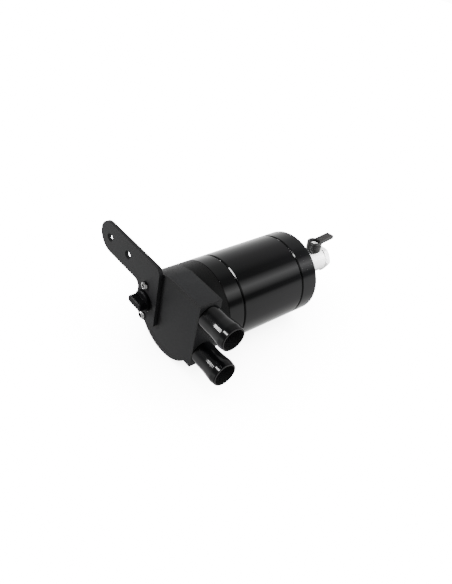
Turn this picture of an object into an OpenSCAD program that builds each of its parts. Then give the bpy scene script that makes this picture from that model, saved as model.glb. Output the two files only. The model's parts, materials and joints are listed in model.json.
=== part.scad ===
// Oil catch can for a car's crankcase breather: a turned canister that hangs
// from a square-cornered billet head with two hose stubs, a flat bracket arm,
// a dipstick, and a small ball valve that drains it.
// Z runs up the canister's axis from the mouth of the drain. The hose stubs
// point along -Y, the bracket arm along +Y, and the head's flat side faces +X.

/* [Canister] */
// Outside diameter of the canister and of the head's round part
can_d = 65; // [60:0.5:80]
// Wall of the canister tube
tube_wall = 2.5; // [2:0.1:3.5]
// Length of the tube between its two grooves
tube_h = 59; // [50:1:140]
// Length of the end cap below the tube
cap_h = 16; // [13:0.5:30]
// Length of the collar between the tube and the head
collar_h = 13.5; // [12.5:0.5:25]
// Wall of the collar where it holds the head
collar_wall = 3.5; // [3.2:0.1:4.5]
// Chamfer on each side of a joint groove
groove_c = 0.8; // [0.3:0.1:1]
// Chamfer round the lower rim of the end cap
rim_c = 1.6; // [0.5:0.1:3]
// How far the collar reaches into the tube
collar_spigot_l = 10; // [8:0.5:14]
// How far the end cap reaches into the tube
cap_spigot_l = 9; // [6:0.5:14]
// Wall of both spigots
spigot_wall = 3; // [2.6:0.1:3.6]
// Thickness of the end cap's floor at the drain
floor_t = 8; // [7:0.5:10]
// Fall of the end cap's floor towards the drain
floor_fall = 2.5; // [1:0.5:4]

/* [Head] */
// Height of the head's block
block_h = 18; // [17.5:0.5:26]
// Height of the head's round skirt below the block
skirt_h = 13.5; // [12:0.5:25]
// How far the head's spigot reaches into the collar
head_spigot_l = 9; // [8:0.5:11]
// Wall of the head's spigot
head_spigot_wall = 3; // [2.6:0.1:3.6]
// How far the block's flat side stands out past the canister's
flat_out = 1; // [0.6:0.1:6]
// From the axis to the block's other, short side
lug_x = 20.5; // [20:0.5:28]
// How far the face with the hose stubs stands out past the canister's side
port_out = 0.2; // [0.2:0.1:6]
// Width of the chamfers on the block's upright corners
corner_c = 0.8; // [0.3:0.1:2]

/* [Hose stubs] */
// Place of the outlet across the port face
outlet_x = 22.7; // [21.5:0.1:23.4]
// Place of the inlet across the port face
inlet_x = -9.6; // [-9.9:0.1:-7]
// Length of a stub outside the head
stub_l = 25; // [22:0.5:40]
// Outside radius of a stub beside the head
stub_r = 8.9; // [8.8:0.1:9.4]
// Outside radius of a stub at its bead
bead_r = 9.8; // [9.5:0.1:10.5]
// Outside radius of a stub at its mouth
mouth_r = 9.3; // [9:0.1:9.5]
// Radius of the way through a stub
stub_bore_r = 6.2; // [5.6:0.1:6.4]
// Radius of the counterbore inside the mouth
mouth_bore_r = 8; // [7.4:0.1:8.4]
// Depth of that counterbore
mouth_bore_l = 9; // [4:0.5:12]
// Length of the spigot that seats in the head
stub_spigot_l = 10; // [8:0.5:11]
// Radius of that spigot
stub_spigot_r = 7.8; // [7.6:0.1:8]

/* [Bracket] */
// Thickness of the bracket plate
plate_t = 3; // [2:0.5:5]
// Width of the arm
arm_w = 25.2; // [20:0.2:26]
// Place of the arm's centre line across the head
arm_x = 23; // [22:0.5:25]
// Place of the outer bolt hole
hole_y = 71; // [66:1:120]
// Distance between the two bolt holes
hole_pitch = 24; // [20:0.5:26]
// Radius of the bolt holes
hole_r = 3.3; // [2.5:0.1:4.5]
// Place of the plate's straight edge across the head
edge_y = 8.4; // [6:0.2:11]
// Radius of the plate's rounded corners
plate_round = 5; // [3:0.5:6]
// Distance of each bracket screw from the dipstick
screw_x = 13.5; // [13:0.1:14.5]
// Radius of a bracket screw's shank
screw_r = 1.8; // [1.5:0.1:2]
// Radius of a bracket screw's head
screw_head_r = 3.1; // [2.9:0.1:3.6]
// Height of a bracket screw's head
screw_head_h = 2.4; // [2.2:0.1:4]
// Length of a bracket screw's shank
screw_l = 12; // [8:0.5:14]

/* [Dipstick] */
// Place of the dipstick and its screws behind the axis
dip_y = 22.2; // [21.4:0.1:22.4]
// Radius of the knob's round base
knob_r = 8.2; // [7.4:0.1:9]
// Height of the knob's round base
knob_base_h = 3; // [2:0.5:5]
// Height of the wing above the base
wing_h = 5.6; // [3:0.1:9]
// Thickness of the wing
wing_t = 6.2; // [3:0.1:7.5]
// Radius of the knob's spigot in the head
dip_r = 6; // [5.5:0.1:6.4]
// Length of the knob's spigot below the plate
dip_spigot_l = 13; // [11:0.5:15]
// Radius of the rod
rod_r = 2; // [1.5:0.1:2.4]
// Distance from the rod's end to the bottom of the tube
rod_end = 12; // [10:1:30]

/* [Inside] */
// Outside radius of the drop tube below the inlet
drop_r = 5.2; // [4.6:0.1:5.6]
// Wall of the drop tube
drop_wall = 0.8; // [0.6:0.1:1.2]
// Depth of the drop tube below the collar's joint
drop_depth = 24; // [18:1:30]
// Place of the drop tube behind the port face's middle
drop_y = -12; // [-13:0.5:-11]
// Thickness of the baffle plate
baffle_t = 1.5; // [1:0.1:2.5]
// Thickness of the mesh screen
mesh_t = 0.8; // [0.5:0.1:1.5]
// Length of the spacer between baffle and screen
spacer_l = 7; // [5:0.5:8]

/* [Drain valve] */
// Turn of the valve about the axis, from how tight its thread is
tap_turn = 6; // [0:1:40]
// Size across flats of the valve's hexagons
hex_af = 19; // [18.5:0.5:22]
// Length of the hexagon at the outlet
end_hex_l = 5; // [4.5:0.5:12]
// Length of the barrel that holds the ball
barrel_l = 17; // [16:0.5:24]
// Radius of the barrel
barrel_r = 9.6; // [9.3:0.1:11]
// Length of the neck above the barrel
neck_l = 10.5; // [5:0.5:20]
// Radius of the neck
neck_r = 7.4; // [7:0.1:7.8]
// Length of the upper hexagon
nut_l = 8.5; // [6:0.5:12]
// Radius of the valve's male thread
thread_r = 6.5; // [6:0.1:7]
// Radius of the outlet's threaded mouth
outlet_r = 5.7; // [5.2:0.1:6.2]
// Depth of the outlet's threaded mouth
outlet_l = 6; // [4:0.5:6]
// Radius of the way through the valve
way_r = 3.6; // [2.5:0.1:3.8]
// Radius of the ball
ball_r = 5.6; // [5.4:0.1:5.8]
// Radius of the stem
stem_r = 2.5; // [2.2:0.1:2.7]
// From the axis to the end of the bonnet
bonnet_x = 12.5; // [12:0.5:20]
// Radius of the bonnet
bonnet_r = 4.3; // [4:0.1:4.6]
// Thickness of the lever's bar
lever_t = 3.4; // [2.5:0.1:5]
// Width of the lever's bar
lever_w = 6.4; // [5:0.1:10]
// From the stem to the lever's tip
lever_l = 19.5; // [14:0.5:40]
// How far the lever's bar leans away from the valve, in degrees
lever_lean = 5; // [0:1:15]
// Radius of the lever's hub
hub_r = 6.2; // [6:0.1:8]
// Radius of the hub's skirt beside the barrel
hub_skirt_r = 5.8; // [5.4:0.1:5.9]
// Thickness of the web in the hub that the stem drives
hub_web = 3; // [2.5:0.1:5]
// Height of the hub's rim round its screw
hub_rim = 3.4; // [2:0.1:5]
// Thickness of the bonded washer
washer_t = 1; // [0.6:0.1:2]

/* [Fits and seals] */
// Clearance between a spigot and the bore it seats in
seat_gap = 0.05; // [0.02:0.01:0.1]
// Clearance round what slides or turns
run_gap = 0.08; // [0.04:0.01:0.12]
// Section of the large O-rings
seal_d = 1.8; // [1.4:0.1:2]
// Section of the small O-rings
small_seal_d = 0.9; // [0.6:0.05:1]

/* [Hidden] */
$fn = 96;
// Overshoot of a cut past the face it opens
cut = 1;

// Radii of the canister's own fits
can_r = can_d / 2;
flat_x = can_r + flat_out;
port_face_y = can_r + port_out;
bore_r = can_r - tube_wall;
spigot_r = bore_r - seat_gap;
spigot_bore_r = spigot_r - spigot_wall;
collar_bore_r = can_r - collar_wall;
head_spigot_r = collar_bore_r - seat_gap;
chamber_r = head_spigot_r - head_spigot_wall;

// Heights up the axis, each from the piece below it
barrel_z = end_hex_l;
stem_z = barrel_z + barrel_l / 2;
neck_z = barrel_z + barrel_l;
nut_z = neck_z + neck_l;
washer_z = nut_z + nut_l;
cap_z = washer_z + washer_t;
tube_z = cap_z + cap_h;
collar_z = tube_z + tube_h;
skirt_z = collar_z + collar_h;
block_z = skirt_z + skirt_h;
top_z = block_z + block_h;
plate_z = top_z + plate_t;
port_z = block_z + block_h / 2;
head_spigot_z = skirt_z - head_spigot_l;
baffle_z = head_spigot_z - baffle_t;
mesh_z = baffle_z - spacer_l - mesh_t;

// Depth and width of an O-ring's groove, from its section
function groove_w(d) = d * 1.3;
// Clearance that keeps an O-ring off the walls of its groove
seal_gap = 0.03;

// Inside details that follow from the sizes above
boss_l = 10;
boss_wall = 3;
clip_d = 1.2;
clip_bite = 0.8;
outlet_turn = [18.5, -4];
outlet_turn_r = 5.5;
drill_past = 1.5;
rod_socket = 8;
rod_clear = 1.2;
mark_w = 1.2;
mark_depth = 0.4;
mark_first = 6;
mark_pitch = 20;
thread_l = 7.5;
neck_cone = 2.5;

// Inner parts of the valve
spigot_in_r = 7.9;
cavity_r = 7.1;
seat_r = 6.9;
seat_bore_r = way_r;
// Reach of both seats from the ball's middle, past the ball
seat_back = ball_r + 0.4;
spigot_in_l = barrel_l / 2 - seat_back;
stem_flange_r = 3.2;
stem_flange_h = 2.6;
seat_near = 3.6;
slot_w = 2.4;
slot_depth = 1.8;
stem_flat = 1.7;
stem_seal_in = 3;
lever_gap = 0.3;
lever_screw_head_r = 3;
lever_screw_room = 1.1;
lever_screw_head_h = 1.8;
lever_screw_r = 1.2;
lever_screw_l = 5;

// Shared shapes

// Hexagon across flats, with a flat facing +X
module hexagon(af) {
    rotate([0, 0, 30]) circle(r = af / sqrt(3), $fn = 6);
}

// Torus lying in a groove between two radii
module o_ring(r_out, d) {
    rotate_extrude() translate([r_out - d / 2, 0]) circle(r = d / 2 - seal_gap, $fn = 32);
}

// Ring cut away from a spigot's outside, centred at z = 0
module seal_groove(r_out, d) {
    rotate_extrude() translate([r_out - d, -groove_w(d) / 2]) square([d + cut, groove_w(d)]);
}

// Turned band of the canister with a chamfer at each end
module band(h, r, c_low, c_high) {
    rotate_extrude()
        polygon([[0, 0], [r - c_low, 0], [r, c_low], [r, h - c_high], [r - c_high, h], [0, h]]);
}

// Turns what is drawn along +Z so that it leaves the head along -Y
module at_port(x) {
    translate([x, -port_face_y, port_z]) rotate([90, 0, 0]) children();
}

// Turns what is drawn along +Z so that it leaves the valve along its stem
module at_stem() {
    rotate([0, 0, tap_turn]) translate([0, 0, stem_z]) rotate([0, 90, 0]) children();
}

// The head

// Outline of the block: the canister's circle with one square corner of lugs
module block_outline() {
    blend_y = 8.6;
    blend_x = sqrt(can_r * can_r - blend_y * blend_y);
    circle(r = can_r);
    polygon([[-lug_x, 0], [-lug_x, -port_face_y + corner_c], [-lug_x + corner_c, -port_face_y],
             [flat_x - corner_c, -port_face_y], [flat_x, -port_face_y + corner_c],
             [flat_x, 1.5], [blend_x, blend_y], [0, blend_y]]);
}

// Solid form of the head before it is bored
module head_blank() {
    translate([0, 0, block_z]) linear_extrude(block_h) block_outline();
    translate([0, 0, skirt_z]) band(skirt_h, can_r, groove_c / 2, 0);
    translate([0, 0, head_spigot_z]) cylinder(h = head_spigot_l + cut, r = head_spigot_r);
}

// Passage from one stub to its turn down into the chamber
module port_way(x, turn_y, turn_r) {
    at_port(x) {
        translate([0, 0, -stub_spigot_l]) cylinder(h = stub_spigot_l + cut, r = stub_spigot_r + seat_gap);
        translate([0, 0, -port_face_y - turn_y - turn_r - drill_past])
            cylinder(h = port_face_y + turn_y + turn_r + drill_past, r = stub_bore_r);
    }
}

module head() color("#3a3a3c") difference() {
    union() {
        difference() {
            head_blank();
            translate([0, 0, head_spigot_z - cut])
                cylinder(h = block_z - head_spigot_z + cut, r = chamber_r);
        }
        translate([inlet_x, drop_y, block_z - boss_l]) cylinder(h = boss_l + cut, r = drop_r + boss_wall);
    }
    port_way(inlet_x, drop_y, drop_r);
    port_way(outlet_x, outlet_turn[1], outlet_turn_r);
    translate([inlet_x, drop_y, block_z - boss_l - cut])
        cylinder(h = port_z - block_z + boss_l + cut, r = drop_r + seat_gap);
    translate([outlet_turn[0], outlet_turn[1], block_z - cut])
        cylinder(h = port_z - block_z + cut, r = outlet_turn_r);
    translate([0, dip_y, block_z - cut]) cylinder(h = block_h + 2 * cut, r = dip_r + run_gap);
    for (side = [-1, 1])
        translate([side * screw_x, dip_y, plate_z - screw_l - cut])
            cylinder(h = screw_l + cut, r = screw_r + seat_gap);
    translate([0, 0, skirt_z - head_spigot_l / 2]) seal_groove(head_spigot_r + seat_gap, seal_d);
}

module head_seal() color("#151515")
    translate([0, 0, skirt_z - head_spigot_l / 2]) o_ring(collar_bore_r, seal_d);

// The hose stubs

// One stub along +Z, with its spigot below z = 0
module stub() {
    flare = stub_l * 0.36;
    bead = stub_l * 0.72;
    land = stub_l * 0.12;
    rotate_extrude() polygon([
        [stub_bore_r, -stub_spigot_l], [stub_spigot_r, -stub_spigot_l], [stub_spigot_r, 0],
        [stub_r, 0], [stub_r, flare], [bead_r, bead], [bead_r, bead + land],
        [mouth_r, stub_l - 0.5], [mouth_r - 0.3, stub_l], [mouth_bore_r, stub_l],
        [mouth_bore_r, stub_l - mouth_bore_l], [stub_bore_r, stub_l - mouth_bore_l - 1]]);
}

module grooved_stub() difference() {
    stub();
    translate([0, 0, -stub_spigot_l / 2]) seal_groove(stub_spigot_r + seat_gap, small_seal_d);
}

module inlet_stub() color("#1d1d1f") at_port(inlet_x) grooved_stub();

module outlet_stub() color("#1d1d1f") at_port(outlet_x) grooved_stub();

module stub_seals() color("#151515")
    for (x = [inlet_x, outlet_x])
        at_port(x) translate([0, 0, -stub_spigot_l / 2]) o_ring(stub_spigot_r + seat_gap, small_seal_d);

// The bracket

// Outline of the plate: a pad on the head and an arm with a round end
module plate_outline() {
    arm_left = arm_x - arm_w / 2;
    arm_right = arm_x + arm_w / 2;
    pad_left = screw_x + 1.2;
    pad_r = can_r - 0.2;
    join_y = sqrt(pad_r * pad_r - arm_left * arm_left);
    wide_x = -screw_x - 6;
    difference() {
        union() {
            intersection() {
                circle(r = pad_r);
                polygon([[-pad_left, edge_y], [arm_right - plate_round, edge_y],
                         [arm_right - plate_round, pad_r], [wide_x, pad_r], [wide_x, dip_y + 3]]);
            }
            translate([arm_left, edge_y + plate_round]) square([arm_w, hole_y - edge_y - plate_round]);
            translate([arm_left, edge_y]) square([arm_w - plate_round, plate_round + cut]);
            translate([arm_right - plate_round, edge_y + plate_round]) circle(r = plate_round);
            translate([arm_x, hole_y]) circle(d = arm_w);
            translate([arm_left - plate_round, join_y - 2])
                square([plate_round + cut, plate_round + 3]);
        }
        translate([arm_left - plate_round, join_y + plate_round + 1]) circle(r = plate_round);
        translate([arm_left - 2 * plate_round, join_y + 1]) square([plate_round, 2 * plate_round]);
    }
}

module bracket_plate() color("#3a3a3c") translate([0, 0, top_z]) difference() {
    linear_extrude(plate_t) plate_outline();
    for (y = [hole_y, hole_y - hole_pitch])
        translate([arm_x, y, -cut]) cylinder(h = plate_t + 2 * cut, r = hole_r);
    translate([0, dip_y, -cut]) cylinder(h = plate_t + 2 * cut, r = dip_r + run_gap);
    for (side = [-1, 1])
        translate([side * screw_x, dip_y, -cut])
            cylinder(h = plate_t + 2 * cut, r = screw_r + seat_gap);
}

// Button-head socket screw standing on z = 0, with its shank below
module button_screw() {
    socket_af = 3;
    socket_depth = 1.6;
    difference() {
        union() {
            rotate_extrude() polygon([[0, 0], [screw_head_r, 0], [screw_head_r, screw_head_h * 0.35],
                [screw_head_r * 0.92, screw_head_h * 0.7], [screw_head_r * 0.68, screw_head_h],
                [0, screw_head_h]]);
            translate([0, 0, -screw_l]) cylinder(h = screw_l + screw_head_h / 2, r = screw_r);
        }
        translate([0, 0, screw_head_h - socket_depth]) linear_extrude(socket_depth + cut) hexagon(socket_af);
    }
}

module bracket_screws() color("#c4c5c6")
    for (side = [-1, 1]) translate([side * screw_x, dip_y, plate_z]) button_screw();

// The dipstick

// Wing grip: a bar with round ends and a rounded top edge
module wing() {
    reach = knob_r - wing_t / 2;
    crown = 0.8;
    for (end = [-1, 1]) translate([0, end * reach, 0]) {
        cylinder(h = wing_h - crown, d = wing_t);
        translate([0, 0, wing_h - crown]) cylinder(h = crown, d1 = wing_t, d2 = wing_t - 2 * crown);
    }
    translate([0, reach, 0]) rotate([90, 0, 0]) linear_extrude(2 * reach)
        polygon([[-wing_t / 2, 0], [wing_t / 2, 0], [wing_t / 2, wing_h - crown],
                 [wing_t / 2 - crown, wing_h], [crown - wing_t / 2, wing_h], [-wing_t / 2, wing_h - crown]]);
}

module dipstick_knob() color("#161617") translate([0, dip_y, plate_z]) difference() {
    union() {
        band(knob_base_h, knob_r, 0.3, 0.8);
        translate([0, 0, knob_base_h]) wing();
        translate([0, 0, -dip_spigot_l]) cylinder(h = dip_spigot_l + cut, r = dip_r);
    }
    translate([0, 0, -dip_spigot_l - cut]) cylinder(h = rod_socket + cut, r = rod_r + seat_gap);
    translate([0, 0, -dip_spigot_l + rod_socket]) seal_groove(dip_r + run_gap, small_seal_d);
}

module dipstick_seal() color("#151515")
    translate([0, dip_y, plate_z - dip_spigot_l + rod_socket]) o_ring(dip_r + run_gap, small_seal_d);

module dipstick_rod() color("#b9babb") translate([0, dip_y, tube_z + rod_end]) difference() {
    rod_l = plate_z - dip_spigot_l + rod_socket - tube_z - rod_end;
    band(rod_l, rod_r, 0.5, 0);
    for (k = [0, 1])
        translate([0, 0, mark_first + k * mark_pitch]) rotate_extrude()
            translate([rod_r - mark_depth, 0]) square([mark_depth + cut, mark_w]);
}

// The canister

module collar() color("#1d1d1f") difference() {
    union() {
        translate([0, 0, collar_z]) band(collar_h, can_r, groove_c, groove_c / 2);
        translate([0, 0, collar_z - collar_spigot_l]) band(collar_spigot_l + cut, spigot_r, 0.5, 0);
    }
    translate([0, 0, collar_z - collar_spigot_l - cut])
        cylinder(h = collar_spigot_l + collar_h + 2 * cut, r = spigot_bore_r);
    translate([0, 0, baffle_z]) cylinder(h = skirt_z - baffle_z + cut, r = collar_bore_r);
    translate([0, 0, mesh_z - clip_d]) cylinder(h = clip_d, r = spigot_bore_r + clip_bite);
    translate([0, 0, collar_z - collar_spigot_l / 2]) seal_groove(bore_r, seal_d);
}

module collar_seal() color("#151515")
    translate([0, 0, collar_z - collar_spigot_l / 2]) o_ring(bore_r, seal_d);

module canister_tube() color("#1d1d1f") translate([0, 0, tube_z]) difference() {
    band(tube_h, can_r, groove_c, groove_c);
    translate([0, 0, -cut]) cylinder(h = tube_h + 2 * cut, r = bore_r);
}

module end_cap() color("#1d1d1f") difference() {
    union() {
        translate([0, 0, cap_z]) band(cap_h, can_r, rim_c, groove_c);
        translate([0, 0, tube_z - cut]) band(cap_spigot_l + cut, spigot_r, 0, 0.5);
    }
    translate([0, 0, cap_z + floor_t])
        cylinder(h = floor_fall, r1 = thread_r + 1, r2 = spigot_bore_r);
    translate([0, 0, cap_z + floor_t + floor_fall])
        cylinder(h = cap_h + cap_spigot_l - floor_t - floor_fall + cut, r = spigot_bore_r);
    translate([0, 0, cap_z - cut]) cylinder(h = floor_t + 2 * cut, r = thread_r + seat_gap);
    translate([0, 0, tube_z + cap_spigot_l / 2]) seal_groove(bore_r, seal_d);
}

module cap_seal() color("#151515")
    translate([0, 0, tube_z + cap_spigot_l / 2]) o_ring(bore_r, seal_d);

// Inside the canister

// Holes that the drop tube and the dipstick need through a disc
module service_holes(h) {
    translate([inlet_x, drop_y, -cut]) cylinder(h = h + 2 * cut, r = drop_r + run_gap);
    translate([0, dip_y, -cut]) cylinder(h = h + 2 * cut, r = rod_r + rod_clear);
}

// Whether a hole of a disc keeps clear of the drop tube, the dipstick and the rim
function hole_ok(p, r, rim) =
    norm(p) + r < rim && norm(p - [inlet_x, drop_y]) > drop_r + r + 1.2 &&
    norm(p - [0, dip_y]) > rod_r + rod_clear + r + 1;

module baffle_plate() color("#b4b5b6") translate([0, 0, baffle_z]) difference() {
    drain_r = 2;
    drain_ring_r = spigot_bore_r - 9;
    cylinder(h = baffle_t, r = collar_bore_r - seat_gap);
    service_holes(baffle_t);
    for (a = [0:30:330])
        if (hole_ok(drain_ring_r * [cos(a), sin(a)], drain_r, spigot_bore_r - 2))
            translate([drain_ring_r * cos(a), drain_ring_r * sin(a), -cut])
                cylinder(h = baffle_t + 2 * cut, r = drain_r);
}

module spacer_ring() color("#a9aaab") translate([0, 0, mesh_z + mesh_t]) difference() {
    spacer_wall = 1.4;
    cylinder(h = spacer_l, r = spigot_bore_r - seat_gap);
    translate([0, 0, -cut]) cylinder(h = spacer_l + 2 * cut, r = spigot_bore_r - seat_gap - spacer_wall);
}

module mesh_screen() color("#b9babb") translate([0, 0, mesh_z]) difference() {
    mesh_pitch = 6;
    mesh_hole_r = 2.2;
    rows = floor(spigot_bore_r / mesh_pitch);
    cylinder(h = mesh_t, r = spigot_bore_r - seat_gap);
    service_holes(mesh_t);
    for (i = [-rows:rows]) for (j = [-rows:rows])
        if (hole_ok(mesh_pitch * [i, j], mesh_hole_r, spigot_bore_r - 2))
            translate([mesh_pitch * i, mesh_pitch * j, -cut])
                cylinder(h = mesh_t + 2 * cut, r = mesh_hole_r, $fn = 32);
}

module screen_clip() color("#9c9d9e") translate([0, 0, mesh_z - clip_d]) difference() {
    clip_in = 1.2;
    gap_w = 5;
    translate([0, 0, seal_gap]) cylinder(h = clip_d - 2 * seal_gap, r = spigot_bore_r + clip_bite - seal_gap);
    translate([0, 0, -cut]) cylinder(h = clip_d + 2 * cut, r = spigot_bore_r - clip_in);
    translate([0, -gap_w / 2, -cut]) cube([can_r, gap_w, clip_d + 2 * cut]);
}

module drop_tube() color("#b0b1b2") translate([inlet_x, drop_y, collar_z - drop_depth]) difference() {
    drop_l = block_z - collar_z + drop_depth;
    cylinder(h = drop_l, r = drop_r);
    translate([0, 0, -cut]) cylinder(h = drop_l + 2 * cut, r = drop_r - drop_wall);
}

// The drain valve

module drain_washer() color("#6f7072") translate([0, 0, washer_z]) difference() {
    washer_r = hex_af / 2 - 0.6;
    cylinder(h = washer_t, r = washer_r);
    translate([0, 0, -cut]) cylinder(h = washer_t + 2 * cut, r = thread_r + seat_gap);
}

// Hexagonal length with its corners turned off at one end
module turned_hex(l, low_chamfer, high_chamfer) {
    corner = hex_af / sqrt(3);
    turn = corner - hex_af / 2 + 0.3;
    intersection() {
        linear_extrude(l) hexagon(hex_af);
        rotate_extrude() polygon([[0, 0], [corner - low_chamfer * turn, 0],
            [corner, low_chamfer * turn * 0.6], [corner, l - high_chamfer * turn * 0.6],
            [corner - high_chamfer * turn, l], [0, l]]);
    }
}

module valve_body() color("#cfcfca") difference() {
    union() {
        translate([0, 0, barrel_z]) band(barrel_l, barrel_r, 0.8, 1.6);
        translate([0, 0, neck_z - cut]) cylinder(h = neck_l + 2 * cut, r = neck_r);
        translate([0, 0, neck_z]) cylinder(h = neck_cone, r1 = barrel_r - 1.6, r2 = neck_r);
        rotate([0, 0, tap_turn]) translate([0, 0, nut_z]) turned_hex(nut_l, 1, 0);
        translate([0, 0, washer_z - cut]) band(thread_l + washer_t + cut, thread_r, 0, 0.8);
        at_stem() cylinder(h = bonnet_x, r = bonnet_r);
    }
    translate([0, 0, barrel_z - cut]) cylinder(h = spigot_in_l + cut, r = spigot_in_r + seat_gap);
    translate([0, 0, barrel_z]) cylinder(h = stem_z - barrel_z + seat_back, r = cavity_r);
    translate([0, 0, stem_z]) cylinder(h = washer_z - stem_z + washer_t + thread_l + cut, r = way_r);
    at_stem() {
        cylinder(h = bonnet_x + cut, r = stem_r + run_gap);
        cylinder(h = ball_r + stem_flange_h + run_gap, r = stem_flange_r + run_gap);
    }
}

module valve_end() color("#d6d6d1") difference() {
    union() {
        rotate([0, 0, tap_turn]) turned_hex(end_hex_l, 1, 0);
        translate([0, 0, end_hex_l - cut]) cylinder(h = spigot_in_l + cut, r = spigot_in_r);
    }
    translate([0, 0, -cut]) cylinder(h = outlet_l + cut, r = outlet_r);
    translate([0, 0, outlet_l - cut]) cylinder(h = end_hex_l + spigot_in_l + cut, r = way_r);
}

// Soft seats each side of the ball, hollowed to its curve
module valve_seats() color("#efeee8") for (side = [0, 1])
    translate([0, 0, stem_z]) mirror([0, 0, side]) difference() {
        translate([0, 0, seat_near]) cylinder(h = seat_back - seat_near, r = seat_r);
        cylinder(h = seat_back + cut, r = seat_bore_r);
        sphere(r = ball_r + seal_gap);
    }

module valve_ball() color("#d9d9d6") at_stem() difference() {
    sphere(r = ball_r);
    rotate([0, 90, 0]) translate([0, 0, -ball_r - cut]) cylinder(h = 2 * ball_r + 2 * cut, r = way_r);
    translate([-ball_r - cut, -slot_w / 2, ball_r - slot_depth])
        cube([2 * ball_r + 2 * cut, slot_w, slot_depth + cut]);
}

module valve_stem() color("#c6c6c2") at_stem() difference() {
    union() {
        translate([0, 0, ball_r]) cylinder(h = stem_flange_h, r = stem_flange_r);
        translate([0, 0, ball_r]) cylinder(h = bonnet_x + hub_web - ball_r, r = stem_r);
        translate([-stem_flange_r + 0.6, -slot_w / 2 + seat_gap, ball_r - slot_depth + seat_gap])
            cube([2 * stem_flange_r - 1.2, slot_w - 2 * seat_gap, slot_depth + cut / 2]);
    }
    for (side = [-1, 1])
        translate([-stem_r - cut, side > 0 ? stem_flat : -stem_flat - 2 * stem_r, bonnet_x])
            cube([2 * stem_r + 2 * cut, 2 * stem_r, hub_web + cut]);
    translate([0, 0, bonnet_x + hub_web - lever_screw_l])
        cylinder(h = lever_screw_l + cut, r = lever_screw_r + seat_gap);
    translate([0, 0, bonnet_x - stem_seal_in]) seal_groove(stem_r + run_gap, small_seal_d * 0.7);
}

module stem_seal() color("#151515") at_stem()
    translate([0, 0, bonnet_x - stem_seal_in]) o_ring(stem_r + run_gap, small_seal_d * 0.7);

// Side view of the lever's bar, from the stem to its tip, as it leans outwards
module bar_profile() {
    top = bonnet_x + hub_web + hub_rim;
    rise = lever_l * tan(lever_lean);
    tip_c = 0.6;
    polygon([[0, top - lever_t], [lever_l - tip_c, top - lever_t + rise],
             [lever_l, top - lever_t + rise + tip_c], [lever_l, top + rise - tip_c],
             [lever_l - tip_c, top + rise], [0, top]]);
}

// Lever: a hub whose skirt covers the bonnet, a deep seat for its screw and a
// square bar towards the outlet
module lever() color("#1a1a1b") at_stem() difference() {
    skirt_low = barrel_r + 0.6;
    rim_top = bonnet_x + hub_web + hub_rim;
    union() {
        translate([0, 0, skirt_low]) cylinder(h = bonnet_x - skirt_low, r1 = hub_skirt_r, r2 = hub_r);
        translate([0, 0, bonnet_x]) band(rim_top - bonnet_x, hub_r, 0, 0.6);
        translate([0, lever_w / 2, 0]) rotate([90, 0, 0]) linear_extrude(lever_w) bar_profile();
    }
    translate([0, 0, skirt_low - cut]) cylinder(h = bonnet_x - skirt_low + cut, r = bonnet_r + lever_gap);
    translate([0, 0, bonnet_x + hub_web])
        cylinder(h = hub_rim + hub_r, r = lever_screw_head_r + lever_screw_room);
    translate([0, 0, bonnet_x - cut / 2]) intersection() {
        cylinder(h = hub_web + cut, r = stem_r + seat_gap);
        translate([-stem_r - cut, -stem_flat - seat_gap, 0])
            cube([2 * stem_r + 2 * cut, 2 * stem_flat + 2 * seat_gap, hub_web + cut]);
    }
}

module lever_screw() color("#d0d0cc") at_stem() translate([0, 0, bonnet_x + hub_web]) difference() {
    union() {
        band(lever_screw_head_h, lever_screw_head_r, 0, 0.6);
        translate([0, 0, -lever_screw_l]) cylinder(h = lever_screw_l + cut, r = lever_screw_r);
    }
    translate([-lever_screw_head_r - cut, -0.4, lever_screw_head_h - 0.8])
        cube([2 * lever_screw_head_r + 2 * cut, 0.8, 0.8 + cut]);
}

head();
inlet_stub();
outlet_stub();
stub_seals();
bracket_plate();
bracket_screws();
dipstick_knob();
dipstick_rod();
dipstick_seal();
collar();
head_seal();
canister_tube();
collar_seal();
cap_seal();
end_cap();
baffle_plate();
spacer_ring();
mesh_screen();
screen_clip();
drop_tube();
drain_washer();
valve_body();
valve_end();
valve_seats();
valve_ball();
valve_stem();
stem_seal();
lever();
lever_screw();
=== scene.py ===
import json
import math

import bmesh
import bpy
from mathutils import Matrix, Vector


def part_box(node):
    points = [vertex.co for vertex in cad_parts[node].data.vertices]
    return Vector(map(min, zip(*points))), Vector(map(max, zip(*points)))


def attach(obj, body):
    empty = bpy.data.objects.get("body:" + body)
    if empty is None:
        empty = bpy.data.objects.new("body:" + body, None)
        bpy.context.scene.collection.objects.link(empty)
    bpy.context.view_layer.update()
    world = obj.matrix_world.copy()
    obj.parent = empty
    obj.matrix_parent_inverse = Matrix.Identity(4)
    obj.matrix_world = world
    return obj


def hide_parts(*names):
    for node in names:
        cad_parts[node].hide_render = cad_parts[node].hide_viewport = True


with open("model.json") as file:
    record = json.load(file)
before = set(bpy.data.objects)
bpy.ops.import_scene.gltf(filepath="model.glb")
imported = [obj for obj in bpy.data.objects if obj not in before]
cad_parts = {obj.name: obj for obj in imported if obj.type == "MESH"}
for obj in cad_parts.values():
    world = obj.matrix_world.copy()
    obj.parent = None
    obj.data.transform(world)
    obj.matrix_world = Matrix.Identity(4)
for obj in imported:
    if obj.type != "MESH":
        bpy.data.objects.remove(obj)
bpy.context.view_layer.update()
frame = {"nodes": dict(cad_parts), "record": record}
slotOf = {part["node"]: part["material_slot"] for part in frame["record"]["subparts"]}
bodyOf = {node: body for body, nodes in frame["record"]["behaviour"]["bodies"].items() for node in nodes}
print("frame loaded,", len(frame["nodes"]), "nodes")

mm = 0.001
tubeLow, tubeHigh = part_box("canister_tube")  # its ends are the canister's two grooves
canR = tubeHigh.x


def addObject(name, data):
    thing = bpy.data.objects.new(name, data)
    bpy.context.scene.collection.objects.link(thing)
    return thing


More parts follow.
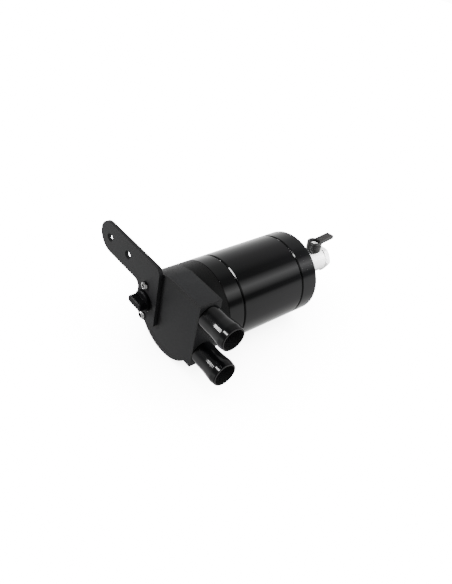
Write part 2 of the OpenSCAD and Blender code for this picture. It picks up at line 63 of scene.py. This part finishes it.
# camera, fitted to the rings of the can and the square corner of the head
shot = {
    "place": (0.2660, -0.2293, 0.2965),  # its height is measured from the tube's lower groove
    "right": (0.1702, -0.6250, -0.7618),
    "up": (0.7683, 0.5683, -0.2946),
    "lens": 35.42,
    "sensor": 36.0,  # long side of the picture
    "clip": (0.01, 20),
}


def makeCamera():
    data = bpy.data.cameras.new("shotCamera")
    data.lens = shot["lens"]
    data.sensor_width = shot["sensor"]
    data.clip_start, data.clip_end = shot["clip"]
    cam = addObject("shotCamera", data)
    right = Vector(shot["right"]).normalized()
    up = Vector(shot["up"])
    up = (up - right * up.dot(right)).normalized()
    turn = Matrix((right, up, right.cross(up))).transposed()
    place = Vector(shot["place"]) + Vector((0, 0, tubeLow.z))
    cam.matrix_world = Matrix.Translation(place) @ turn.to_4x4()
    bpy.context.scene.camera = cam


makeCamera()
print("camera placed")


# studio: the can lies on its round side, so the floor is a plane facing +X
studio = {
    "floorX": -0.0331,
    "floorSize": 3.0,
    "paper": 17.0,  # brightness of the paper as the camera sees it
    "paintedShadowReach": 0.08,  # how far the painted soft shadow on the floor spreads
    "paintedShadowDepth": 0.65,
    "paintedShadowSamples": 24,
    "dimSpan": (-0.1, 0.3),  # height of a direction over which the room grows dimmer
    "overhead": 0.32,  # what is left of its brightness there
    # turn round the can in degrees, and how bright the room is there
    "room": [(-180, 0.9), (-139, 0.62), (-95, 0.85), (-84, 0.75), (-76, 0.12), (-66, 0.12), (-56, 0.9),
             (-43, 1.9), (-32, 0.9), (-22, 0.16), (-6, 0.16), (12, 0.36), (41, 0.48), (66, 0.8),
             (85, 1.2), (105, 2.2), (128, 3.0), (160, 1.6), (180, 0.9)],
}

# soft lights; along is the direction of the first side in size
lights = {
    "keyLight": {"place": (0.314, 0.570, 0.697), "aim": (0, 0, 0.15), "along": (0.875, 0, -0.483),
                 "size": (0.26, 0.08), "power": 4.6},
    # draws the glints in the grooves
    "stripLight": {"place": (0.563, 0.049, 0.666), "aim": (0, 0, 0.1), "along": (-0.087, 0.996, 0),
                   "size": (0.39, 0.11), "power": 5.0, "diffuse": False},
    # what the paper throws up on the pale valve
    "bounceLight": {"place": (0.05, -0.044, -0.02), "aim": (0, 0, 0.02), "along": (0, 0, 1),
                    "size": (0.05, 0.05), "power": 0.36, "glossy": False},
}


def nodeTree(owner):
    owner.use_nodes = True
    tree = owner.node_tree
    tree.nodes.clear()
    return tree


def addNode(tree, kind, feeds=None, **settings):  # each feed is a link or a fixed value
    made = tree.nodes.new(kind)
    for key, value in settings.items():
        setattr(made, key, value)
    for key, feed in (feeds or {}).items():
        if isinstance(feed, bpy.types.NodeSocket):
            tree.links.new(feed, made.inputs[key])
        else:
            made.inputs[key].default_value = feed
    return made


def fillRamp(ramp, stops):
    elements = ramp.color_ramp.elements
    while len(elements) < len(stops):
        elements.new(0.5)
    for element, (position, colour) in zip(elements, stops):
        element.position = position
        element.color = tuple(colour) + (1,)


def makeWorld():
    world = bpy.data.worlds.new("paleStudio")
    bpy.context.scene.world = world
    tree = nodeTree(world)
    coords = addNode(tree, "ShaderNodeTexCoord")
    split = addNode(tree, "ShaderNodeSeparateXYZ", {0: coords.outputs["Generated"]})
    angle = addNode(tree, "ShaderNodeMath", {0: split.outputs["Y"], 1: split.outputs["X"]},
                    operation="ARCTAN2")
    share = addNode(tree, "ShaderNodeMapRange",
                    {"Value": angle.outputs[0], "From Min": -math.pi, "From Max": math.pi})
    ramp = addNode(tree, "ShaderNodeValToRGB", {"Fac": share.outputs[0]})
    top = max(level for turn, level in studio["room"])
    fillRamp(ramp, [(turn / 360 + 0.5, (level / top,) * 3) for turn, level in studio["room"]])
    low, high = studio["dimSpan"]
    height = addNode(tree, "ShaderNodeMapRange",
                     {"Value": split.outputs["Z"], "From Min": low, "From Max": high,
                      "To Min": top, "To Max": top * studio["overhead"]})
    room = addNode(tree, "ShaderNodeBackground",
                   {"Color": ramp.outputs["Color"], "Strength": height.outputs["Result"]})
    paper = addNode(tree, "ShaderNodeBackground", {"Strength": studio["paper"]})
    path = addNode(tree, "ShaderNodeLightPath")
    mix = addNode(tree, "ShaderNodeMixShader",
                  {0: path.outputs["Is Camera Ray"], 1: room.outputs[0], 2: paper.outputs[0]})
    addNode(tree, "ShaderNodeOutputWorld", {0: mix.outputs[0]})


def floorPaper():
    mat = bpy.data.materials.new("floorPaper")
    tree = nodeTree(mat)
    # the floor glows evenly; its soft shadow near the can is painted from occlusion, not cast by the lamps
    near = addNode(tree, "ShaderNodeAmbientOcclusion", {"Distance": studio["paintedShadowReach"]},
                   samples=studio["paintedShadowSamples"])
    fade = addNode(tree, "ShaderNodeMath", {0: near.outputs["AO"], 1: studio["paintedShadowDepth"]},
                   operation="POWER")
    glow = addNode(tree, "ShaderNodeMath", {0: fade.outputs[0], 1: studio["paper"]}, operation="MULTIPLY")
    paper = addNode(tree, "ShaderNodeEmission", {"Strength": glow.outputs[0]})
    clear = addNode(tree, "ShaderNodeBsdfTransparent")
    geo = addNode(tree, "ShaderNodeNewGeometry")
    mix = addNode(tree, "ShaderNodeMixShader",  # see-through from below
                  {0: geo.outputs["Backfacing"], 1: paper.outputs[0], 2: clear.outputs[0]})
    addNode(tree, "ShaderNodeOutputMaterial", {0: mix.outputs[0]})
    return mat


def makeFloor():
    half = studio["floorSize"] / 2
    x = studio["floorX"]
    mesh = bpy.data.meshes.new("floor")
    corners = [(x, -half, -half), (x, half, -half), (x, half, half), (x, -half, half)]
    mesh.from_pydata(corners, [], [(0, 1, 2, 3)])
    mesh.materials.append(floorPaper())
    floor = addObject("floor", mesh)
    floor.visible_diffuse = False
    floor.visible_glossy = False
    floor.visible_shadow = False


def makeLight(name):
    spec = lights[name]
    data = bpy.data.lights.new(name, "AREA")
    data.shape = "RECTANGLE"
    data.size, data.size_y = spec["size"]
    data.energy = spec["power"]
    lamp = addObject(name, data)
    back = (Vector(spec["place"]) - Vector(spec["aim"])).normalized()
    side = Vector(spec["along"])
    side = (side - back * side.dot(back)).normalized()
    turn = Matrix((side, back.cross(side), back)).transposed()
    lamp.matrix_world = Matrix.Translation(spec["place"]) @ turn.to_4x4()
    lamp.visible_camera = False
    lamp.visible_diffuse = spec.get("diffuse", True)
    lamp.visible_glossy = spec.get("glossy", True)


makeWorld()
makeFloor()
for name in lights:
    makeLight(name)
print("studio built")


# finishes, one for each slot: grain is the strength of the bump and scale how fine it is, turned and hollow
# are in mm, and the functions below say what facing, turned, inside and hollow do; all of them deal in light
# or shade painted into the colour
finishes = {
    "head_black": {"colour": (0.010, 0.010, 0.0105), "metal": 0.0, "rough": 0.48, "shine": 0.17,
                   "grain": 0.2, "scale": 2600, "turned": 18,
                   # painted light by facing: the sides and the top are painted paler and the broken edges
                   # darker
                   "facing": [(0.15, 4.4), (0.3, 0.4), (0.88, 0.4), (0.97, 2.4)]},
    "plate_black": {"colour": (0.011, 0.011, 0.0115), "metal": 0.0, "rough": 0.48, "shine": 0.17,
                    "grain": 0.2, "scale": 2600,
                    "facing": [(0.15, 3.2), (0.3, 0.4), (0.88, 0.4), (0.97, 2.6)]},
    "can_black": {"colour": (0.004, 0.004, 0.0045), "metal": 0.0, "rough": 0.10,
                  "grain": 0.008, "scale": 4000},
    # the stub's bore is painted lighter than its outside, a painted reflection
    "stub_black": {"colour": (0.005, 0.005, 0.006), "metal": 0.0, "rough": 0.13,
                   "grain": 0.008, "scale": 4000, "inside": (0.05, 0.05, 0.052)},
    "knob_black": {"colour": (0.008, 0.008, 0.009), "metal": 0.0, "rough": 0.38, "shine": 0.08,
                   "grain": 0.048, "scale": 1200},
    # screw heads: socket and rim painted dark as painted shade, and the hollows darkened as painted shade
    "screw_steel": {"colour": (0.90, 0.90, 0.89), "metal": 0.8, "rough": 0.25,
                    "grain": 0.08, "scale": 1800, "inside": (0.03, 0.03, 0.03), "hollow": 1.8},
    "inner_steel": {"colour": (0.55, 0.55, 0.55), "metal": 1.0, "rough": 0.30,
                    "grain": 0.12, "scale": 1500},
    "drop_alloy": {"colour": (0.66, 0.67, 0.68), "metal": 1.0, "rough": 0.34,
                   "grain": 0.12, "scale": 1500},
    "valve_nickel": {"colour": (0.96, 0.96, 0.95), "metal": 0.35, "rough": 0.26,
                     "grain": 0.06, "scale": 1400},
    "lever_black": {"colour": (0.012, 0.012, 0.012), "metal": 0.0, "rough": 0.40,
                    "grain": 0.2, "scale": 1500},
    "seal_rubber": {"colour": (0.012, 0.012, 0.012), "metal": 0.0, "rough": 0.55,
                    "grain": 0.2, "scale": 1800},
    "seat_white": {"colour": (0.80, 0.80, 0.77), "metal": 0.0, "rough": 0.35,
                   "grain": 0.08, "scale": 1500},
    "washer_grey": {"colour": (0.40, 0.40, 0.41), "metal": 1.0, "rough": 0.35,
                    "grain": 0.12, "scale": 1500},
}

# what every finish shares
skin = {
    "shine": 0.5,
    "cloudScale": 45,  # slow change of tone and polish
    "cloudDetail": 5,
    "cloudSpan": (0.3, 0.7),
    "toneSwing": (0.90, 1.08),
    "roughSwing": (0.85, 1.15),
    "grainDetail": 3,
    "grainDepth": 0.0001,
    # painted shade in hollows, from occlusion
    "paintedHollowSpan": (0.55, 0.9),
    "paintedHollowShade": 0.02,
    "paintedHollowSamples": 16,
}


def mixColours(tree, under, over, share, blend="MIX"):
    mix = addNode(tree, "ShaderNodeMix", {"Factor": share, "A": under, "B": over},
                  data_type="RGBA", blend_type=blend)
    return mix.outputs["Result"]


def cloudTone(tree, cloud, colour):
    low, high = skin["toneSwing"]
    tones = [[c * low for c in colour], [min(1, c * high) for c in colour]]
    ramp = addNode(tree, "ShaderNodeValToRGB", {"Fac": cloud})
    fillRamp(ramp, list(zip(skin["cloudSpan"], tones)))
    return ramp.outputs["Color"]


def facingTone(tree, paint, facing):  # painted light: sides and top painted paler and broken edges darker, by how far they face up
    geo = addNode(tree, "ShaderNodeNewGeometry")
    split = addNode(tree, "ShaderNodeSeparateXYZ", {0: geo.outputs["Normal"]})
    ramp = addNode(tree, "ShaderNodeValToRGB", {"Fac": split.outputs["Z"]})
    fillRamp(ramp, [(tilt, (level,) * 3) for tilt, level in facing])
    tone = addNode(tree, "ShaderNodeVectorMath", {0: paint, "Scale": ramp.outputs["Color"]},
                   operation="SCALE")
    return tone.outputs[0]


def skirtWithoutPaintedLight(tree, paint, coords, block, colour):  # below the block the painted facing light is left off, so the skirt keeps its plain, darker colour
    height = addNode(tree, "ShaderNodeSeparateXYZ", {0: coords}).outputs["Z"]
    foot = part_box("bracket_plate")[0].z - block * mm
    below = addNode(tree, "ShaderNodeMath", {0: height, 1: foot}, operation="LESS_THAN")
    return mixColours(tree, paint, colour + (1,), below.outputs[0])


def paintZoneColour(tree, paint, colour):  # painted colour on the marked zone: a lighter painted reflection in a stub's bore, painted shade in a screw's socket and at its rim
    mark = addNode(tree, "ShaderNodeAttribute", attribute_name="inside")
    return mixColours(tree, paint, colour + (1,), mark.outputs["Fac"])


def paintedHollowShade(tree, paint, reach):  # painted shade in sockets and slots, darker where nearby surfaces close in
    near = addNode(tree, "ShaderNodeAmbientOcclusion", {"Distance": reach * mm},
                   samples=skin["paintedHollowSamples"])
    hollowShadeRamp = addNode(tree, "ShaderNodeValToRGB", {"Fac": near.outputs["AO"]})
    fillRamp(hollowShadeRamp, list(zip(skin["paintedHollowSpan"], ((skin["paintedHollowShade"],) * 3, (1, 1, 1)))))
    return mixColours(tree, paint, hollowShadeRamp.outputs["Color"], 1, "MULTIPLY")


def makeFinish(slot):
    spec = finishes[slot]
    mat = bpy.data.materials.new(slot)
    tree = nodeTree(mat)
    coords = addNode(tree, "ShaderNodeTexCoord").outputs["Object"]
    cloud = addNode(tree, "ShaderNodeTexNoise",
                    {"Vector": coords, "Scale": skin["cloudScale"], "Detail": skin["cloudDetail"]})
    paint = cloudTone(tree, cloud.outputs["Fac"], spec["colour"])
    if "facing" in spec:
        paint = facingTone(tree, paint, spec["facing"])
    if "turned" in spec:
        paint = skirtWithoutPaintedLight(tree, paint, coords, spec["turned"], spec["colour"])
    if "inside" in spec:
        paint = paintZoneColour(tree, paint, spec["inside"])
    if "hollow" in spec:
        paint = paintedHollowShade(tree, paint, spec["hollow"])
    low, high = skin["roughSwing"]
    polish = addNode(tree, "ShaderNodeMapRange",
                     {"Value": cloud.outputs["Fac"], "To Min": spec["rough"] * low,
                      "To Max": spec["rough"] * high})
    grain = addNode(tree, "ShaderNodeTexNoise",
                    {"Vector": coords, "Scale": spec["scale"], "Detail": skin["grainDetail"]})
    bump = addNode(tree, "ShaderNodeBump",
                   {"Height": grain.outputs["Fac"], "Strength": spec["grain"],
                    "Distance": skin["grainDepth"]})
    surface = addNode(tree, "ShaderNodeBsdfPrincipled",
                      {"Base Color": paint, "Metallic": spec["metal"],
                       "Roughness": polish.outputs["Result"],
                       "Specular IOR Level": spec.get("shine", skin["shine"]),
                       "Normal": bump.outputs["Normal"]})
    addNode(tree, "ShaderNodeOutputMaterial", {0: surface.outputs[0]})
    return mat


materials = {slot: makeFinish(slot) for slot in finishes}
for name, thing in frame["nodes"].items():
    thing.data.materials.clear()
    thing.data.materials.append(materials[slotOf[name]])
print("finishes made:", len(materials))


def addPiece(name, mesh, node, stands=True):
    piece = addObject(name, mesh)
    if stands:
        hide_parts(node)
    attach(piece, bodyOf[node])
    return piece


def smoothFaces(mesh):
    for face in mesh.polygons:
        face.use_smooth = True


def markPaintedZone(mesh, flags):
    marks = mesh.attributes.new("inside", "FLOAT", "POINT")
    marks.data.foreach_set("value", [float(flag) for flag in flags])


# turned pieces, as outlines of (radius, height, softness of the corner) in mm
turning = {
    "steps": 180,
    "reach": 0.4,  # a soft corner takes at most this share of the stretch beside it
    "hold": 0.2,  # a point past the corner, by this share of its reach, keeps the stretch flat
    "curve": (0, 0.25, 0.5, 0.75, 1),
    "fine": 0.1,  # softness of a small corner
    "slack": 0.01,  # tolerance on the radius of a bore
}


def softOutline(outline):
    soft = []
    for k, (r, z, ease) in enumerate(outline):
        here = Vector((r, z))
        before = Vector(outline[k - 1][:2]) - here
        after = Vector(outline[(k + 1) % len(outline)][:2]) - here
        if ease <= 0:
            soft.append(here)
            continue
        reach = min(ease, before.length * turning["reach"], after.length * turning["reach"])
        start, end = here + before.normalized() * reach, here + after.normalized() * reach
        soft.append(start + before.normalized() * reach * turning["hold"])
        for t in turning["curve"]:
            soft.append(start * (1 - t) ** 2 + here * 2 * t * (1 - t) + end * t * t)
        soft.append(end + after.normalized() * reach * turning["hold"])
    return soft


def lathe(name, node, outline, base, tip, inside=0):
    rings = softOutline(outline)
    steps, count = turning["steps"], len(rings)
    axis = (Vector(tip) - Vector(base)).normalized()
    side = axis.orthogonal().normalized()
    across = axis.cross(side)
    points = []
    faces = []
    for k in range(steps):
        turn = 2 * math.pi * k / steps
        out = side * math.cos(turn) + across * math.sin(turn)
        points += [Vector(base) + out * (p.x * mm) + axis * (p.y * mm) for p in rings]
        here, there = k * count, (k + 1) % steps * count
        faces += [(here + i, there + i, there + (i + 1) % count, here + (i + 1) % count)
                  for i in range(count)]
    mesh = bpy.data.meshes.new(name)
    mesh.from_pydata(points, [], faces)
    work = bmesh.new()
    work.from_mesh(mesh)
    bmesh.ops.recalc_face_normals(work, faces=work.faces)
    work.to_mesh(mesh)
    work.free()
    smoothFaces(mesh)
    if inside:  # the wall of the bore, marked for a painted reflection
        markPaintedZone(mesh, [p.x <= inside + turning["slack"] for p in rings] * steps)
    mesh.materials.append(materials[slotOf[node]])
    addPiece(name, mesh, node)


def sealGroove(radius, middle, deep, wide):
    half, fine = wide / 2, turning["fine"]
    return [(radius, middle - half, fine), (radius - deep, middle - half, 0),
            (radius - deep, middle + half, 0), (radius, middle + half, fine)]


canister = {
    "groove": 0.8,  # chamfer on each side of a joint
    "slot": 0.35,  # dark gap at the foot of each groove
    "slotDeep": 1.0,
    "soft": 0.25,
    "crisp": 0.05,  # softness of the collar's top corner
    "rim": 1.8,  # rounding of the cap's lower rim
    "wall": 2.5,
    "seat": 0.05,  # clearance of the spigots in the tube
    "spigotWall": 3.0,
    "spigotEdge": 0.5,
    "sealDeep": 1.8,
    "sealWide": 2.34,
    "collarWall": 3.5,
    "drain": 6.55,
    "drainSoft": 0.2,
    "drainFlat": 0.95,  # level ring round the drain
    "floor": 8.0,
    "floorSoft": 0.3,
    "fall": 2.5,
}


def makeTube():
    c, soft, fine = canister["groove"], canister["soft"], turning["fine"]
    radius = canR / mm
    slot, foot = canister["slot"], radius - c - canister["slotDeep"]
    bore = radius - canister["wall"]
    length = (tubeHigh.z - tubeLow.z) / mm
    lathe("tubeTurned", "canister_tube",
          [(bore, 0, fine), (foot, 0, 0), (foot, slot, 0), (radius - c, slot, fine),
           (radius, slot + c, soft), (radius, length - slot - c, soft), (radius - c, length - slot, fine),
           (foot, length - slot, 0), (foot, length, 0), (bore, length, fine)],
          (0, 0, tubeLow.z), (0, 0, tubeHigh.z))


def spigotSizes():
    spigot = canR / mm - canister["wall"] - canister["seat"]
    return spigot, spigot - canister["spigotWall"], canister["spigotEdge"]


def makeCollar():
    low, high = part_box("collar")
    c, soft, fine = canister["groove"], canister["soft"], turning["fine"]
    radius = canR / mm
    spigot, bore, edge = spigotSizes()
    seat = radius - canister["collarWall"]
    joint = (tubeHigh.z - low.z) / mm
    top = (high.z - low.z) / mm
    ledge = (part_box("baffle_plate")[0].z - low.z) / mm  # the baffle lies on it
    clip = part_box("screen_clip")
    clipLow, clipHigh = (clip[0].z - low.z) / mm, (clip[1].z - low.z) / mm
    clipR = clip[1].y / mm
    lathe("collarTurned", "collar",
          [(bore, 0, fine), (spigot - edge, 0, fine), (spigot, edge, fine),
           *sealGroove(spigot, joint / 2, canister["sealDeep"], canister["sealWide"]),
           (spigot, joint, 0), (radius - c, joint, fine), (radius, joint + c, soft),
           (radius, top, canister["crisp"]), (seat, top, fine), (seat, ledge, 0), (bore, ledge, fine),
           (bore, clipHigh, 0), (clipR, clipHigh, 0), (clipR, clipLow, 0), (bore, clipLow, 0)],
          (0, 0, low.z), (0, 0, high.z))


def makeCap():
    low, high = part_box("end_cap")
    c, soft, fine = canister["groove"], canister["soft"], turning["fine"]
    radius = canR / mm
    spigot, bore, edge = spigotSizes()
    drain, floor = canister["drain"], canister["floor"]
    joint = (tubeLow.z - low.z) / mm
    top = (high.z - low.z) / mm
    lathe("capTurned", "end_cap",
          [(drain, 0, canister["drainSoft"]), (radius, 0, canister["rim"]), (radius, joint - c, soft),
           (radius - c, joint, fine), (spigot, joint, 0),
           *sealGroove(spigot, (joint + top) / 2, canister["sealDeep"], canister["sealWide"]),
           (spigot, top - edge, fine), (spigot - edge, top, fine), (bore, top, fine),
           (bore, floor + canister["fall"], canister["floorSoft"]),
           (drain + canister["drainFlat"], floor, fine), (drain, floor, 0)],
          (0, 0, low.z), (0, 0, high.z))


makeTube()
makeCollar()
makeCap()
print("canister turned")


# hose stubs, each along its own axis from the port face
stub = {
    "radius": 8.9,
    "bead": 9.8,
    "beadSoft": 0.4,
    "flare": (0.46, 0.80),  # where the flare starts and ends, as a share of the length
    "flareSoft": 1.5,
    "land": 0.04,  # top of the bead, as a share of the length
    "mouth": 9.3,
    "mouthEdge": (0.3, 0.5),  # across and along
    "mouthSoft": (0.35, 0.25),
    "lip": 8.0,  # counterbore inside the mouth
    "lipDeep": 9.0,
    "lipFall": 1.0,  # slope from the counterbore to the bore
    "lipSoft": 0.3,
    "bore": 6.2,
    "spigot": 7.8,
    "spigotL": 10.0,
    "soft": 0.2,
    "sealDeep": 0.85,
    "sealWide": 1.17,
}


def makeStub(node):
    low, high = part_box(node)
    middle = (low + high) / 2
    fine, soft, deep = turning["fine"], stub["soft"], stub["spigotL"]
    length = (high.y - low.y) / mm - deep
    port = high.y - deep * mm
    start, end = (length * share for share in stub["flare"])
    radius, bead, mouth, lip, bore, spigot = (
        stub[key] for key in ("radius", "bead", "mouth", "lip", "bore", "spigot"))
    across, along = stub["mouthEdge"]
    ring, nose = stub["mouthSoft"]
    foot = length - stub["lipDeep"]
    lathe(node + "Turned", node,
          [(bore, -deep, soft), (spigot, -deep, soft),
           *sealGroove(spigot, -deep / 2, stub["sealDeep"], stub["sealWide"]),
           (spigot, 0, 0), (radius, 0, fine), (radius, start, stub["flareSoft"]),
           (bead, end, stub["beadSoft"]), (bead, end + length * stub["land"], stub["beadSoft"]),
           (mouth, length - along, ring), (mouth - across, length, nose), (lip, length, soft),
           (lip, foot, stub["lipSoft"]), (bore, foot - stub["lipFall"], stub["lipSoft"])],
          (middle.x, port, middle.z), (middle.x, low.y, middle.z), inside=lip)


for node in ("inlet_stub", "outlet_stub"):
    makeStub(node)
print("stubs turned")


# pieces that stand for a node with its edges broken, and by how much in mm
edges = {
    "head": 0.55, "bracket_plate": 0.35, "bracket_screws": 0.15, "dipstick_knob": 0.35,
    "valve_body": 0.2, "valve_end": 0.25, "lever": 0.35, "lever_screw": 0.12, "drain_washer": 0.1,
}

# how they are broken
breaking = {
    "merge": 1e-6,  # metres
    "flat": 0.5,  # degrees up to which faces join
    "sharp": 28,  # degrees from which an edge is broken
    "segments": 3,
    "faceWeight": 90,
}

# painted shade on a screw's head: the socket inside one share of its radius and the rim outside another
screwShade = {
    "socket": 0.62,
    "rim": 0.93,
}


def middleOf(points):
    return Vector([(min(p[k] for p in points) + max(p[k] for p in points)) / 2 for k in range(3)])


# marks where the painted shade goes on the two screw heads
def markPaintedScrewShade(mesh):  # the two heads lie on either side of the middle
    points = [v.co for v in mesh.vertices]
    centre = sum(points, Vector()) / len(points)
    halves = [[p for p in points if (p.y > centre.y) == far] for far in (True, False)]
    axes = [middleOf(half) for half in halves]
    reach = min(max((p - axis).xy.length for p in half) for axis, half in zip(axes, halves))
    shares = [min((p - axis).xy.length for axis in axes) / reach for p in points]
    markPaintedZone(mesh, [share < screwShade["socket"] or share > screwShade["rim"] for share in shares])


def brokenEdges(node, width):
    mesh = frame["nodes"][node].data.copy()
    old = mesh.attributes.get("custom_normal")
    if old:  # the old normals would show as fans on the joined faces
        mesh.attributes.remove(old)
    work = bmesh.new()
    work.from_mesh(mesh)
    bmesh.ops.remove_doubles(work, verts=work.verts, dist=breaking["merge"])
    bmesh.ops.dissolve_limit(work, angle_limit=math.radians(breaking["flat"]), verts=work.verts,
                             edges=work.edges)
    work.to_mesh(mesh)
    work.free()
    smoothFaces(mesh)
    if node == "bracket_screws":
        markPaintedScrewShade(mesh)
    piece = addPiece(node + "Dressed", mesh, node)
    cut = piece.modifiers.new("edge", "BEVEL")
    cut.width = width * mm
    cut.segments = breaking["segments"]
    cut.limit_method = "ANGLE"
    cut.angle_limit = math.radians(breaking["sharp"])
    cut.use_clamp_overlap = True
    shade = piece.modifiers.new("flatFaces", "WEIGHTED_NORMAL")  # large flat faces stay flat
    shade.mode = "FACE_AREA"
    shade.weight = breaking["faceWeight"]


for node, width in edges.items():
    brokenEdges(node, width)
print("dressed pieces:", len(edges))


# thread inside the valve's outlet
thread = {
    "root": 5.72,  # just inside the wall of the bore
    "pitch": 1.34,
    "turns": 3.4,
    "height": 0.45,
    "start": 0.7,
    "foot": 0.46,  # half the width of the foot, as a share of the pitch
    "crest": 0.08,  # half the width of the crest
    "steps": 96,  # in one turn
    "runOut": 0.25,  # part of a turn over which each end fades
}


def makeThread():
    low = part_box("valve_end")[0]
    steps, root, crest = thread["steps"], thread["root"], thread["crest"]
    foot = thread["pitch"] * thread["foot"]
    total = int(thread["turns"] * steps)
    fade = thread["runOut"] * steps
    points = []
    for k in range(total + 1):
        turn = 2 * math.pi * k / steps
        z = thread["start"] + thread["pitch"] * k / steps
        tall = thread["height"] * min(1, k / fade, (total - k) / fade)
        for r, dz in ((0, -foot), (tall, -crest), (tall, crest), (0, foot)):
            place = Vector(((root - r) * math.cos(turn), (root - r) * math.sin(turn), z + dz))
            points.append(place * mm + Vector((0, 0, low.z)))
    faces = [(4 * k + i, 4 * k + 4 + i, 4 * k + 5 + i, 4 * k + 1 + i)
             for k in range(total) for i in range(3)]
    mesh = bpy.data.meshes.new("outletThread")
    mesh.from_pydata(points, [], faces)
    smoothFaces(mesh)
    mesh.materials.append(materials[slotOf["valve_end"]])
    addPiece("outletThread", mesh, "valve_end", stands=False)


makeThread()
print("outlet threaded")
